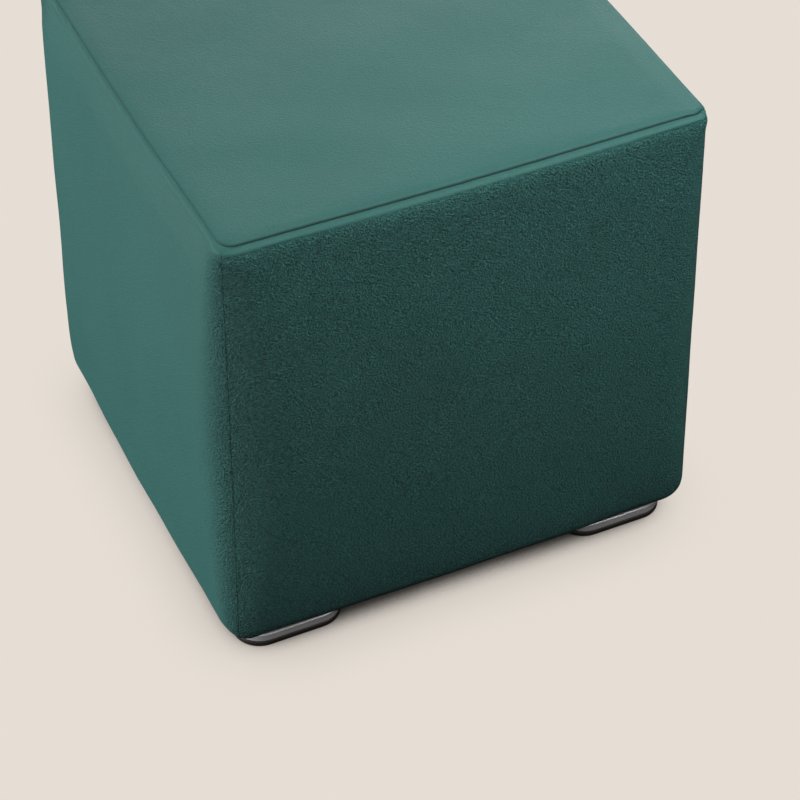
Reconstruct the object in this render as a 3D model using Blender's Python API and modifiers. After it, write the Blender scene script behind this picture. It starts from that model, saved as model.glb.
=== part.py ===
"""Cube pouf stool: a filled fabric cube that stands on four low square feet.

Sizes are in metres and +Z is up. The floor is at z = 0 and the middle of the plan is at x = y = 0.
The front faces -Y and the left side faces -X.

A top panel, drawn over the filling, is sewn to four side panels. Each side panel rolls over the top
edge to meet it, runs down the side, meets its neighbours in a seam at the corners, rolls under the
bottom edge and stops at a flat base panel. A foot sits under each corner: a black moulding with a
satin metal band round it.
"""

import math

import bmesh
import bpy

# The body
WIDTH = 0.450            # left to right, at the base
DEPTH = 0.434            # front to back, at the base
SEAM_HEIGHT = 0.450      # floor to the seam round the top panel
FOOT_HEIGHT = 0.026      # floor to the underside of the body
TOP_DRAW_IN = 0.006      # how far the top seam draws each side in
TOP_ROLL = 0.010         # radius of the edge between a side and the top
BASE_ROLL = 0.015        # radius of the edge between a side and the underside
TURN_UNDER = 0.030       # how far a side panel reaches in under the body
CLOTH = 0.003            # thickness of the padded upholstery cloth
GAP = 0.0003             # clearance between pieces that touch
SEAM_TURN = 0.0009       # how far cloth turns in at a seam
TOP_CROWN = 0.005        # rise of the top panel in its middle
CROWN_FLAT = 0.030       # the middle of the crown, to each side, that counts as flat
EDGE_BULGE = 0.002       # bow of a side in plan, along its top and bottom edges
FACE_BULGE = 0.006       # bow of a side in plan, half way up

# The corners, as radii in plan
SIDE_CORNER = 0.025      # the upright corners
SEAM_CORNER = 0.0125     # the seam round the top panel
UNDER_CORNER = 0.006     # the edge of the base panel

# The feet
FOOT_SIZE = 0.100
FOOT_CORNER = 0.025
FOOT_INSET = 0.015       # from the side of the body to the side of the foot
GLIDE_HEIGHT = 0.0055    # the black rim that stands on the floor
BAND_HEIGHT = 0.0082
BAND_WALL = 0.002
FOOT_CHAMFER = 0.0006

# How finely each stretch is divided
CORNER_STEPS = 3         # from a corner seam to the straight of a side
ACROSS_STEPS = 8         # along the straight of a side
ROLL_STEPS = 4           # round the top or the bottom edge
SIDE_STEPS = 7           # down the side
CROWN_RINGS = 5
FOOT_CORNER_STEPS = 5

BASE = FOOT_HEIGHT
SEAM_ANGLE = math.radians(45)
SIDES = ("front", "right", "back", "left")
FOOT_PLACES = (
    ("front_left", -1, -1),
    ("front_right", 1, -1),
    ("back_right", 1, 1),
    ("back_left", -1, 1),
)


def side_bulge(height):
    """How far the middle of a side bows out at a height."""
    low = BASE + BASE_ROLL
    high = SEAM_HEIGHT - TOP_ROLL
    part = min(max((2 * height - low - high) / (high - low), -1.0), 1.0)
    return EDGE_BULGE + (FACE_BULGE - EDGE_BULGE) * (1 - part * part) ** 2


def draw_in(height):
    return TOP_DRAW_IN * (height - BASE) / (SEAM_HEIGHT - BASE)


def side_profile(depth):
    """The line of a side from the top seam to its turned-under edge, `depth` below the outer face.

    Each row is (inset from the side, height, corner radius).
    """
    rows = []
    high = SEAM_HEIGHT - TOP_ROLL
    low = BASE + BASE_ROLL
    for step in range(ROLL_STEPS + 1):
        angle = math.radians(90) * step / ROLL_STEPS
        reach = (TOP_ROLL - depth) * math.sin(angle)
        rise = (TOP_ROLL - depth) * math.cos(angle)
        radius = SEAM_CORNER + (SIDE_CORNER - SEAM_CORNER) * reach / TOP_ROLL
        rows.append((TOP_ROLL - reach, high + rise, radius))
    for step in range(1, SIDE_STEPS):
        rows.append((depth, high - (high - low) * step / SIDE_STEPS, SIDE_CORNER - depth))
    for step in range(ROLL_STEPS + 1):
        angle = math.radians(90) * step / ROLL_STEPS
        reach = (BASE_ROLL - depth) * math.cos(angle)
        drop = (BASE_ROLL - depth) * math.sin(angle)
        rows.append((BASE_ROLL - reach, low - drop, SIDE_CORNER - BASE_ROLL + reach))
    rows.append((TURN_UNDER, BASE + depth, UNDER_CORNER))
    return rows


def side_line(side, inset, height, radius, trim=0.0):
    """Points along one side at a height, from one corner seam to the next, `trim` short of each."""
    half_x = WIDTH / 2 - draw_in(height) - inset
    half_y = DEPTH / 2 - draw_in(height) - inset
    lengthwise = side in ("front", "back")
    half_along = half_x if lengthwise else half_y
    half_out = half_y if lengthwise else half_x
    straight = half_along - radius
    last_angle = SEAM_ANGLE - trim / radius
    arc = []
    for step in range(CORNER_STEPS):
        angle = last_angle * (1 - step / CORNER_STEPS)
        arc.append((straight + radius * math.sin(angle), half_out - radius * (1 - math.cos(angle))))
    line = [(-along, out) for along, out in arc]
    for step in range(ACROSS_STEPS + 1):
        part = 2 * step / ACROSS_STEPS - 1
        line.append((part * straight, half_out + side_bulge(height) * (1 - part * part) ** 2))
    line += reversed(arc)
    turned = {
        "front": lambda along, out: (along, -out, height),
        "right": lambda along, out: (out, along, height),
        "back": lambda along, out: (-along, out, height),
        "left": lambda along, out: (-out, -along, height),
    }[side]
    return [turned(along, out) for along, out in line]


def body_ring(inset, height, radius):
    """A closed ring round the whole body; neighbouring sides share their corner point."""
    ring = []
    for side in SIDES:
        ring += side_line(side, inset, height, radius)[:-1]
    return ring


def crown_height(x, y):
    """Height of the top panel over a point of the plan."""
    half_x = WIDTH / 2 - TOP_DRAW_IN - TOP_ROLL
    half_y = DEPTH / 2 - TOP_DRAW_IN - TOP_ROLL
    across = max(0.0, 1 - abs(x / half_x) ** 3)
    along = max(0.0, 1 - abs(y / half_y) ** 3)
    return SEAM_HEIGHT + TOP_CROWN * across * along


def rounded_square_ring(size, corner, height):
    """A closed square ring with rounded corners, round the origin."""
    ring = []
    straight = size / 2 - corner
    for quarter in range(4):
        centre_angle = math.radians(45 + 90 * quarter)
        centre_x = math.copysign(straight, math.cos(centre_angle))
        centre_y = math.copysign(straight, math.sin(centre_angle))
        for step in range(FOOT_CORNER_STEPS + 1):
            angle = math.radians(90) * (quarter + step / FOOT_CORNER_STEPS)
            ring.append((centre_x + corner * math.cos(angle), centre_y + corner * math.sin(angle), height))
    return ring


def make_material(name, colour, roughness, metallic=0.0):
    material = bpy.data.materials.new(name)
    material.use_nodes = True
    shader = material.node_tree.nodes["Principled BSDF"]
    shader.inputs["Base Color"].default_value = (*colour, 1.0)
    shader.inputs["Roughness"].default_value = roughness
    shader.inputs["Metallic"].default_value = metallic
    return material


def add_object(name, mesh_builder, material, collection, sharp_degrees=35):
    """Turns a bmesh into a named object with its faces pointing out."""
    bmesh.ops.recalc_face_normals(mesh_builder, faces=mesh_builder.faces)
    mesh = bpy.data.meshes.new(name)
    mesh_builder.to_mesh(mesh)
    mesh_builder.free()
    mesh.shade_smooth()
    mesh.set_sharp_from_angle(angle=math.radians(sharp_degrees))
    mesh.materials.append(material)
    built = bpy.data.objects.new(name, mesh)
    collection.objects.link(built)
    return built


def loft(rings, closed_tube=False):
    """Skins a stack of rings. The two ends are capped, or joined to each other in a closed tube."""
    builder = bmesh.new()
    rows = [[builder.verts.new(point) for point in ring] for ring in rings]
    pairs = list(zip(rows, rows[1:]))
    if closed_tube:
        pairs.append((rows[-1], rows[0]))
    for upper, lower in pairs:
        for here in range(len(upper)):
            after = (here + 1) % len(upper)
            builder.faces.new((upper[here], lower[here], lower[after], upper[after]))
    if not closed_tube:
        builder.faces.new(rows[0])
        builder.faces.new(reversed(rows[-1]))
    return builder


def sheet(outer, inner):
    """A sheet between an outer and an inner net of points, closed along its four edges."""
    builder = bmesh.new()
    nets = [[[builder.verts.new(point) for point in row] for row in net] for net in (outer, inner)]
    last_row = len(outer) - 1
    last_column = len(outer[0]) - 1
    for net in nets:
        for row in range(last_row):
            for column in range(last_column):
                builder.faces.new((
                    net[row][column],
                    net[row + 1][column],
                    net[row + 1][column + 1],
                    net[row][column + 1],
                ))
    rim = [(0, column) for column in range(last_column)]
    rim += [(row, last_column) for row in range(last_row)]
    rim += [(last_row, last_column - column) for column in range(last_column)]
    rim += [(last_row - row, 0) for row in range(last_row)]
    for here, after in zip(rim, rim[1:] + rim[:1]):
        builder.faces.new((
            nets[0][here[0]][here[1]],
            nets[0][after[0]][after[1]],
            nets[1][after[0]][after[1]],
            nets[1][here[0]][here[1]],
        ))
    return builder


def turn_in_edges(built, width):
    """Rounds the cut edges of a piece."""
    bevel = built.modifiers.new("turned edges", "BEVEL")
    bevel.width = width
    bevel.segments = 1
    bevel.limit_method = "ANGLE"
    bevel.angle_limit = math.radians(60)


def make_side_panel(side, material, collection):
    """One side panel, from the top seam to its turned-under edge."""
    nets = []
    for depth in (0.0, CLOTH):
        net = [side_line(side, *row, trim=GAP / 2) for row in side_profile(depth)]
        nets.append(net)
    panel = add_object("side_panel_" + side, sheet(*nets), material, collection)
    turn_in_edges(panel, SEAM_TURN)
    return panel


def make_filled_top(material, collection):
    """The crowned top panel and the filling that it is drawn over, as one solid."""
    rings = []
    wall_inset = TOP_ROLL + GAP
    least_inset = wall_inset + SEAM_TURN
    most_inset = DEPTH / 2 - TOP_DRAW_IN - SEAM_CORNER - CROWN_FLAT
    for step in range(CROWN_RINGS, -1, -1):
        inset = least_inset + (most_inset - least_inset) * (step / CROWN_RINGS) ** 1.5
        flat = body_ring(inset, SEAM_HEIGHT, SEAM_CORNER)
        rings.append([(x, y, crown_height(x, y)) for x, y, _ in flat])
    below_cloth = CLOTH + GAP
    rings.append(body_ring(wall_inset, SEAM_HEIGHT - SEAM_TURN, SEAM_CORNER))
    rings.append(body_ring(wall_inset, SEAM_HEIGHT - below_cloth, SEAM_CORNER))
    rings += [body_ring(*row) for row in side_profile(below_cloth)]
    return add_object("top_panel_filled", loft(rings), material, collection)


def make_base_panel(material, collection):
    """The flat panel that closes the underside, inside the turned-under edges."""
    inset = TURN_UNDER + GAP
    rings = [body_ring(inset, height, UNDER_CORNER) for height in (BASE + CLOTH, BASE)]
    return add_object("base_panel", loft(rings), material, collection)


def make_foot(place, x, y, material, collection):
    """A black moulding: a wide rim on the floor, and a neck inside the band up to the body."""
    neck = FOOT_SIZE - 2 * (BAND_WALL + GAP)
    neck_corner = FOOT_CORNER - BAND_WALL - GAP
    slim = FOOT_SIZE - 2 * FOOT_CHAMFER
    slim_corner = FOOT_CORNER - FOOT_CHAMFER
    rings = [
        rounded_square_ring(neck, neck_corner, BASE - GAP),
        rounded_square_ring(neck, neck_corner, GLIDE_HEIGHT),
        rounded_square_ring(slim, slim_corner, GLIDE_HEIGHT),
        rounded_square_ring(FOOT_SIZE, FOOT_CORNER, GLIDE_HEIGHT - FOOT_CHAMFER),
        rounded_square_ring(FOOT_SIZE, FOOT_CORNER, FOOT_CHAMFER),
        rounded_square_ring(slim, slim_corner, 0.0),
    ]
    foot = add_object("foot_" + place, loft(rings), material, collection)
    foot.location = (x, y, 0)
    return foot


def make_band(place, x, y, material, collection):
    """The satin metal band that sits on the rim of a foot, round its neck."""
    low = GLIDE_HEIGHT + GAP
    high = low + BAND_HEIGHT
    hollow = FOOT_SIZE - 2 * BAND_WALL
    hollow_corner = FOOT_CORNER - BAND_WALL
    slim = FOOT_SIZE - 2 * FOOT_CHAMFER
    slim_corner = FOOT_CORNER - FOOT_CHAMFER
    rings = [
        rounded_square_ring(hollow, hollow_corner, high),
        rounded_square_ring(slim, slim_corner, high),
        rounded_square_ring(FOOT_SIZE, FOOT_CORNER, high - FOOT_CHAMFER),
        rounded_square_ring(FOOT_SIZE, FOOT_CORNER, low + FOOT_CHAMFER),
        rounded_square_ring(slim, slim_corner, low),
        rounded_square_ring(hollow, hollow_corner, low),
    ]
    band = add_object("foot_band_" + place, loft(rings, closed_tube=True), material, collection)
    band.location = (x, y, 0)
    return band


def main():
    for old in list(bpy.data.objects):
        bpy.data.objects.remove(old)
    collection = bpy.data.collections.new("cube_pouf_stool")
    bpy.context.scene.collection.children.link(collection)

    cloth = make_material("green_cloth", (0.030, 0.112, 0.100), 0.9)
    metal = make_material("satin_metal", (0.55, 0.55, 0.56), 0.35, metallic=1.0)
    moulding = make_material("black_moulding", (0.018, 0.015, 0.013), 0.5)

    make_filled_top(cloth, collection)
    for side in SIDES:
        make_side_panel(side, cloth, collection)
    make_base_panel(cloth, collection)
    foot_x = WIDTH / 2 - FOOT_INSET - FOOT_SIZE / 2
    foot_y = DEPTH / 2 - FOOT_INSET - FOOT_SIZE / 2
    for place, side_x, side_y in FOOT_PLACES:
        make_foot(place, side_x * foot_x, side_y * foot_y, moulding, collection)
        make_band(place, side_x * foot_x, side_y * foot_y, metal, collection)


main()
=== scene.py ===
# %% [markdown]
# # A cube pouf stool
#
# This lesson dresses a finished construction model of a cube pouf stool for a studio picture. The
# real stool is a filled cube covered in a dark green napped cloth. A top panel is sewn to four side
# panels, and the cube stands on four low feet with satin metal bands.
#
# The construction model fixes every size and place. Here each panel is made again as a fine
# surface, with its sewn edges, its slight swell over the filling and the grain of its cloth.

# %% The construction model
import math

import bmesh
import bpy
import numpy as np
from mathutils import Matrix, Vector


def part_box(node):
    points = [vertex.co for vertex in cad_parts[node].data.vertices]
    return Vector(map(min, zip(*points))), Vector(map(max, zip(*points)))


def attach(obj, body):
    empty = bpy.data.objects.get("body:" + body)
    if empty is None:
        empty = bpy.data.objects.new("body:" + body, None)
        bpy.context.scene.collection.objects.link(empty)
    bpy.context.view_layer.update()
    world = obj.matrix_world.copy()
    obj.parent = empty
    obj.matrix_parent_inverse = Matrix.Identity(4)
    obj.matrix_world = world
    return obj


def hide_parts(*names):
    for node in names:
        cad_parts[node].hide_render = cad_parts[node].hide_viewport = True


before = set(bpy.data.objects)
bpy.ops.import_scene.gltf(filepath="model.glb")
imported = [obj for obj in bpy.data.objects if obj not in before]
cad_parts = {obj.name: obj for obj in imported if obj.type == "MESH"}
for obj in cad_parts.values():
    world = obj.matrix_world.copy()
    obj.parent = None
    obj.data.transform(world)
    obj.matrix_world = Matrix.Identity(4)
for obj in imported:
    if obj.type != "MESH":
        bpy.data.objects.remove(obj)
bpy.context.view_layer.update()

# %% [markdown]
# ## Sizes
#
# All sizes are in metres. The floor is at z = 0, the front faces -Y and the left side faces -X. The
# heights come from the construction model. The others are what a maker would note down: how far the
# seams lie inside the sides, how the edges roll over, and how round the corners are.

# %% Sizes of the body
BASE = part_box("base_panel")[0].z
SEAM_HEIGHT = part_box("side_panel_front")[1].z
WIDTH = 0.450            # left to right, at the base
DEPTH = 0.434            # front to back, at the base
SEAM_INSET = 0.016       # how far the top seam lies inside the sides, measured at the base
BASE_ROLL = 0.015        # radius of the edge between a side and the underside
TURN_UNDER = 0.030       # how far a side panel reaches in under the body
CLOTH = 0.003            # thickness of the padded cloth
GAP = 0.0003             # clearance between pieces that touch
SIDE_CORNER = 0.025      # plan radius of the upright corners, just under the top edge
SEAM_CORNER = 0.0125     # plan radius of the seam round the top panel
UNDER_CORNER = 0.006     # plan radius of the edge of the base panel
SIDE_LOW = BASE + BASE_ROLL
SIDE_HIGH = SEAM_HEIGHT - 0.010
print("body from", round(BASE, 4), "to", round(SEAM_HEIGHT, 4))

# %% Object helpers
def add_object(name, data):
    """An object in the scene, at the origin, that holds this data."""
    added = bpy.data.objects.new(name, data)
    bpy.context.scene.collection.objects.link(added)
    return added


def aim(holder, place, direction):
    """Put a camera or a light in its place and turn it in a direction."""
    holder.location = place
    holder.rotation_mode = "QUATERNION"
    holder.rotation_quaternion = direction.to_track_quat("-Z", "Y")


def built_mesh(builder, name):
    """The mesh that a builder holds, which ends its work."""
    data = bpy.data.meshes.new(name)
    builder.to_mesh(data)
    builder.free()
    return data


# %% [markdown]
# ## Camera
#
# The picture looks down at the near left corner from above. A long lens keeps the edges nearly
# parallel. The place, the angles and the lens length were found by fitting the outlines of the
# construction model to the photograph.

# %% Camera
CAMERA_PLACE = (-0.7608, -1.6991, 1.7370)
CAMERA_AZIMUTH = math.radians(-25.05)
CAMERA_ELEVATION = math.radians(42.16)

camera_data = bpy.data.cameras.new("camera")
camera_data.sensor_width = 36
camera_data.lens = 121.2
camera_data.clip_start = 0.05
camera_data.clip_end = 50
camera = add_object("camera", camera_data)
level = math.cos(CAMERA_ELEVATION)
backwards = Vector((
    math.sin(CAMERA_AZIMUTH) * level,
    -math.cos(CAMERA_AZIMUTH) * level,
    math.sin(CAMERA_ELEVATION),
))
aim(camera, CAMERA_PLACE, -backwards)
bpy.context.scene.camera = camera
print("camera at", CAMERA_PLACE)

# %% [markdown]
# ## Light
#
# Large soft lights stand low behind the stool and to its left, so the left side is light. One hangs
# overhead for the top. Two high ones in front and to the right graze the front, which stays darker,
# and bring out its grain. A faint one lifts the near corner. The Standard view transform keeps the
# plain tones.

# %% Lights
def add_area_light(name, place, target, size, power):
    """A square soft light that faces a target."""
    light = bpy.data.lights.new(name, "AREA")
    light.shape = "SQUARE"
    light.size = size
    light.energy = power
    aim(add_object(name, light), place, Vector(target) - Vector(place))


BODY_MIDDLE = (0, 0, (BASE + SEAM_HEIGHT) / 2)
LIGHTS = (               # name, compass angle from +X, elevation, distance, power at 3 m
    ("back right light", 60, 9, 3.0, 50),
    ("back light", 90, 9, 3.0, 33),
    ("back left light", 150, 5, 3.0, 41),
    ("left light", 178, 4, 3.0, 64),
    ("overhead light", 0, 80, 3.0, 31),
    ("high right light", 328, 49, 1.7, 27),
    ("high front light", 300, 40, 1.7, 44),
    ("near corner light", 235, 30, 3.0, 10),
)
LIGHT_SIZE = 0.4         # for each metre of distance
for name, compass, elevation, distance, power in LIGHTS:
    turn, rise = math.radians(compass), math.radians(elevation)
    flat = math.cos(rise)
    towards = Vector((math.cos(turn) * flat, math.sin(turn) * flat, math.sin(rise)))
    place = Vector(BODY_MIDDLE) + distance * towards
    strength = power * (distance / 3) ** 2
    add_area_light(name, place, BODY_MIDDLE, LIGHT_SIZE * distance, strength)
bpy.context.scene.view_settings.view_transform = "Standard"
print(len(LIGHTS), "lights")

# %% [markdown]
# ## Node helpers
#
# Materials and Geometry Nodes are both node trees. One helper adds a node, sets its fields and fills
# its inputs with links or plain values, so that each step of a tree takes a line or two.

# %% Node helpers
def add_step(tree, kind, inputs, output=0, **settings):
    """One node. Its inputs are links or plain values, and the result is one of its outputs."""
    node = tree.nodes.new(kind)
    for name, value in settings.items():
        setattr(node, name, value)
    for name, value in inputs.items():
        if isinstance(value, bpy.types.NodeSocket):
            tree.links.new(value, node.inputs[name])
        else:
            node.inputs[name].default_value = value
    return node.outputs[output]


def add_math(tree, operation, first, second):
    return add_step(tree, "ShaderNodeMath", {0: first, 1: second}, operation=operation)


def add_vector_math(tree, operation, first, second=(0, 0, 0)):
    return add_step(tree, "ShaderNodeVectorMath", {0: first, 1: second}, operation=operation)


def scaled(tree, vector, scale):
    inputs = {0: vector, "Scale": scale}
    return add_step(tree, "ShaderNodeVectorMath", inputs, operation="SCALE")


def object_place(tree):
    return add_step(tree, "ShaderNodeTexCoord", {}, output="Object")


def add_ramp(tree, factor, stops, tone=(1, 1, 1)):
    """A tone that follows stops of (place, brightness). The factor is 1 at the last place."""
    result = add_step(tree, "ShaderNodeValToRGB", {"Fac": factor}, output="Color")
    elements = result.node.color_ramp.elements
    for element, stop in zip(elements, (stops[0], stops[-1])):
        element.color = (*[channel * stop[1] for channel in tone], 1)
    for place, brightness in stops[1:-1]:
        element = elements.new(place / stops[-1][0])
        element.color = (*[channel * brightness for channel in tone], 1)
    return result


# %% [markdown]
# ## Floor and backdrop
#
# The stool stands on a pale, seamless studio floor that shows only the soft shade at its foot. A lit
# floor would throw colour up on the cloth, so this one glows with one plain tone. Ambient occlusion
# darkens it near the stool, and a rounded rectangle darkens it further under the body. The backdrop
# has the same tone, but only for the camera, so it gives no light.

# %% Floor and backdrop
FLOOR_SIZE = 14
FLOOR_TONE = (0.7913, 0.7305, 0.6654, 1)
SHADE_REACH = 0.08       # how far the stool's contact shade spreads over the floor
SHADE_CURVE = (          # openness of the floor to the air above it, brightness there
    (0.0, 0.0), (0.12, 0.03), (0.20, 0.12), (0.26, 0.22), (0.30, 0.36), (0.35, 0.54),
    (0.39, 0.65), (0.43, 0.74), (0.48, 0.81), (0.54, 0.86), (0.61, 0.90), (0.70, 0.95),
    (0.80, 0.98), (0.90, 1.0), (1.0, 1.0),
)
SHADE_CORNER = 0.050     # rounding of the shade's outline
UNDER_SHADE = (          # how far a place lies in under the body, brightness there
    (0.0, 1.0), (0.008, 0.98), (0.012, 0.94), (0.0145, 0.87), (0.0165, 0.78), (0.0185, 0.68),
    (0.0205, 0.56), (0.0243, 0.29), (0.027, 0.20), (0.034, 0.10),
)

builder = bmesh.new()
bmesh.ops.create_grid(builder, x_segments=1, y_segments=1, size=FLOOR_SIZE / 2)
floor = add_object("floor", built_mesh(builder, "floor"))
floor.visible_diffuse = False
floor.visible_glossy = False

floor_paint = bpy.data.materials.new("pale floor")
floor_paint.use_nodes = True
tree = floor_paint.node_tree
tree.nodes.clear()
inputs = {"Distance": SHADE_REACH}
openness = add_step(tree, "ShaderNodeAmbientOcclusion", inputs, output="AO", samples=16)
straight = (WIDTH / 2 - SHADE_CORNER, DEPTH / 2 - SHADE_CORNER, 0)
spot = add_vector_math(tree, "ABSOLUTE", object_place(tree))
past = add_vector_math(tree, "MAXIMUM", add_vector_math(tree, "SUBTRACT", spot, straight))
out = add_step(tree, "ShaderNodeVectorMath", {0: past}, output="Value", operation="LENGTH")
inputs = {"Value": add_math(tree, "SUBTRACT", SHADE_CORNER, out), "From Max": UNDER_SHADE[-1][0]}
depth = add_step(tree, "ShaderNodeMapRange", inputs, output="Result")
shade = add_ramp(tree, openness, SHADE_CURVE, FLOOR_TONE[:3])
shade = add_vector_math(tree, "MULTIPLY", shade, add_ramp(tree, depth, UNDER_SHADE))
glow = add_step(tree, "ShaderNodeEmission", {"Color": shade})
tree.links.new(glow, tree.nodes.new("ShaderNodeOutputMaterial").inputs["Surface"])
floor.data.materials.append(floor_paint)

world = bpy.data.worlds.new("studio")
world.use_nodes = True
bpy.context.scene.world = world
background = world.node_tree.nodes["Background"]
background.inputs["Color"].default_value = FLOOR_TONE
seen = add_step(world.node_tree, "ShaderNodeLightPath", {}, output="Is Camera Ray")
world.node_tree.links.new(seen, background.inputs["Strength"])
print("floor", FLOOR_SIZE, "m wide")

# %% [markdown]
# ## Cloth
#
# The cover is a dense cloth with a very short nap and a pebbled grain about 3 mm across. Each cloth
# piece carries an attribute that says how strong its grain is, set to how strongly the grain shows
# in this light: strongest on the half-shaded front, faint on the lit top and left side. The grain is
# bump, because it is finer than the mesh. The pits between the pebbles are also painted darker, as
# painted shade, and a slow noise makes the dye uneven. A second attribute is painted shade too: it
# darkens the nap along the seams, and towards the base edge on the front, right and back.

# %% Material helpers
def new_material(name):
    """An empty node material with its output and one Principled shader."""
    material = bpy.data.materials.new(name)
    material.use_nodes = True
    tree = material.node_tree
    tree.nodes.clear()
    out = tree.nodes.new("ShaderNodeOutputMaterial")
    shader = tree.nodes.new("ShaderNodeBsdfPrincipled")
    tree.links.new(shader.outputs["BSDF"], out.inputs["Surface"])
    return material, tree, shader


def add_noise(tree, vector, scale, detail=2.0, roughness=0.5, distortion=0.0):
    return add_step(tree, "ShaderNodeTexNoise", {
        "Vector": vector, "Scale": scale, "Detail": detail, "Roughness": roughness,
        "Distortion": distortion,
    }, output="Fac")


def add_tones(tree, factor, dark, light):
    inputs = {"Factor": factor, "A": dark, "B": light}
    return add_step(tree, "ShaderNodeMix", inputs, output="Result", data_type="RGBA")


def add_bump(tree, shader, height, distance, strength=1.0):
    inputs = {"Height": height, "Distance": distance, "Strength": strength}
    tree.links.new(add_step(tree, "ShaderNodeBump", inputs), shader.inputs["Normal"])


# %% Cloth material
CLOTH_DARK = (0.0312, 0.120, 0.108, 1)
CLOTH_LIGHT = (0.0362, 0.139, 0.125, 1)
PIT_PAINTED_SHADE = 2.8       # painted shade in the pits: how much darker they are than the pebbles
GRAIN_HEIGHT = 0.0052    # of the bump, where the grain is at its strongest

green_cloth, tree, shader = new_material("green_cloth")
place = object_place(tree)
grain_strength = add_step(tree, "ShaderNodeAttribute", {}, output="Fac", attribute_name="grain")
painted_shade = add_step(tree, "ShaderNodeAttribute", {}, output="Fac", attribute_name="painted_shade")
tones = add_tones(tree, add_noise(tree, place, 9, detail=3), CLOTH_DARK, CLOTH_LIGHT)
flatter = add_step(tree, "ShaderNodeMapping", {"Vector": place, "Scale": (0.8, 0.8, 1.1)})
grain = add_noise(tree, flatter, 700, detail=2, roughness=0.55, distortion=0.4)
pit_depth = add_math(tree, "MULTIPLY", add_math(tree, "SUBTRACT", grain, 0.5), grain_strength)
# Painted shade: the pits between the pebbles are darkened, more where the grain is stronger.
painted_shade_tone = add_math(tree, "ADD", add_math(tree, "MULTIPLY", pit_depth, PIT_PAINTED_SHADE), 1.0)
# Painted shade along the seams and the base edge darkens the tone further.
painted_shade_tone = add_math(tree, "MULTIPLY", painted_shade_tone, add_math(tree, "SUBTRACT", 1.0, painted_shade))
tree.links.new(scaled(tree, tones, painted_shade_tone), shader.inputs["Base Color"])
shader.inputs["Roughness"].default_value = 0.6
shader.inputs["IOR"].default_value = 1.34
add_bump(tree, shader, pit_depth, GRAIN_HEIGHT)
print(green_cloth.name, len(tree.nodes), "nodes")

# %% [markdown]
# ## The line of a side
#
# Seen from its end, a side panel starts at the seam on top, lies nearly flat for a finger's breadth,
# turns sharply over the edge into a shallow crease, and only then swells out and runs down. The
# easiest way to draw such a line is to say how steep the cloth is at each distance along it, and to
# add the steps up. Below, it rolls under the base and stops at the base panel.

# %% Slopes over the top edge
EDGE_SLOPES = (          # distance from the seam in millimetres, slope in degrees
    (0, 0), (1.5, 4), (2.6, 10), (3.6, 19), (4.6, 29), (5.6, 39), (6.5, 52), (7.3, 66), (8.1, 76),
    (8.9, 80), (9.7, 76), (10.5, 67), (11.3, 62.5), (12.3, 64), (13.6, 70), (15, 76), (17, 80),
    (19, 83.5), (23, 87), (27, 89), (45, 90),
)
TIGHT_SLOPES = (         # the same, where the cloth is drawn tight over the edge
    (0, 0), (1.2, 5), (2.0, 12), (2.8, 24), (3.6, 38), (4.4, 54), (5.2, 69), (6.0, 79), (7.0, 83),
    (9, 81), (13, 79), (20, 80), (28, 82), (36, 85), (45, 90),
)
EDGE_POINTS = 226


def rolled_edge(slopes):
    """How far out and how far down the cloth gets from the top seam."""
    distance = np.linspace(0, slopes[-1][0], EDGE_POINTS)
    slope = np.radians(np.interp(distance, *np.array(slopes).T))
    middle = (slope[1:] + slope[:-1]) / 2
    step = distance[1] / 1000
    reach = np.concatenate([[0], np.cumsum(np.cos(middle) * step)])
    drop = np.concatenate([[0], np.cumsum(np.sin(middle) * step)])
    return reach, drop


EDGE_REACH, EDGE_DROP = rolled_edge(EDGE_SLOPES)
TIGHT_REACH, TIGHT_DROP = rolled_edge(TIGHT_SLOPES)
TOP_REACH = EDGE_REACH[-1]
TIGHT_REACH = TIGHT_REACH * (1 + (TOP_REACH / TIGHT_REACH[-1] - 1) * EDGE_REACH / TOP_REACH)
TOP_DRAW_IN = SEAM_INSET - TOP_REACH
print("top edge reaches", round(TOP_REACH * 1000, 1), "mm out of its seam")

# %% From the top seam to the underside
CORNER_REACH = 0.0095    # how far the edge reaches at the corners, where the cloth is tighter
TOP_CORNER = 0.015       # plan radius of the upright corners at the top edge
CORNER_START = 0.004     # drop at which they start to grow
CORNER_GROWTH = 0.010    # further drop over which they grow to their full radius
SIDE_ROWS, ROLL_ROWS, UNDER_ROWS = 60, 40, 12


def corner_growth(drop):
    """How much the corner radius has grown at a drop below the top seam."""
    share = max(drop - CORNER_START, 0) / CORNER_GROWTH
    return (SIDE_CORNER - TOP_CORNER) * (1 - math.exp(-share ** 2))


def side_profile(edge_reach, edge_drop):
    """Rows of (inset, height, corner radius) from the top seam to the turned-under edge."""
    rows = []
    under = SIDE_CORNER - BASE_ROLL
    for reach, drop in zip(edge_reach, edge_drop):
        radius = SEAM_CORNER + (TOP_CORNER - SEAM_CORNER) * min(reach / CORNER_REACH, 1)
        rows.append((TOP_REACH - reach, SEAM_HEIGHT - drop, radius + corner_growth(drop)))
    for height in np.linspace(SEAM_HEIGHT - edge_drop[-1], SIDE_LOW, SIDE_ROWS)[1:-1]:
        rows.append((0.0, height, TOP_CORNER + corner_growth(SEAM_HEIGHT - height)))
    for angle in np.linspace(0, math.pi / 2, ROLL_ROWS):
        reach = BASE_ROLL * math.cos(angle)
        rows.append((BASE_ROLL - reach, SIDE_LOW - BASE_ROLL * math.sin(angle), under + reach))
    for inset in np.linspace(BASE_ROLL, TURN_UNDER, UNDER_ROWS)[1:]:
        part = (inset - BASE_ROLL) / (TURN_UNDER - BASE_ROLL)
        rows.append((inset, BASE, under + (UNDER_CORNER - under) * part))
    return np.array(rows)


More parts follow.
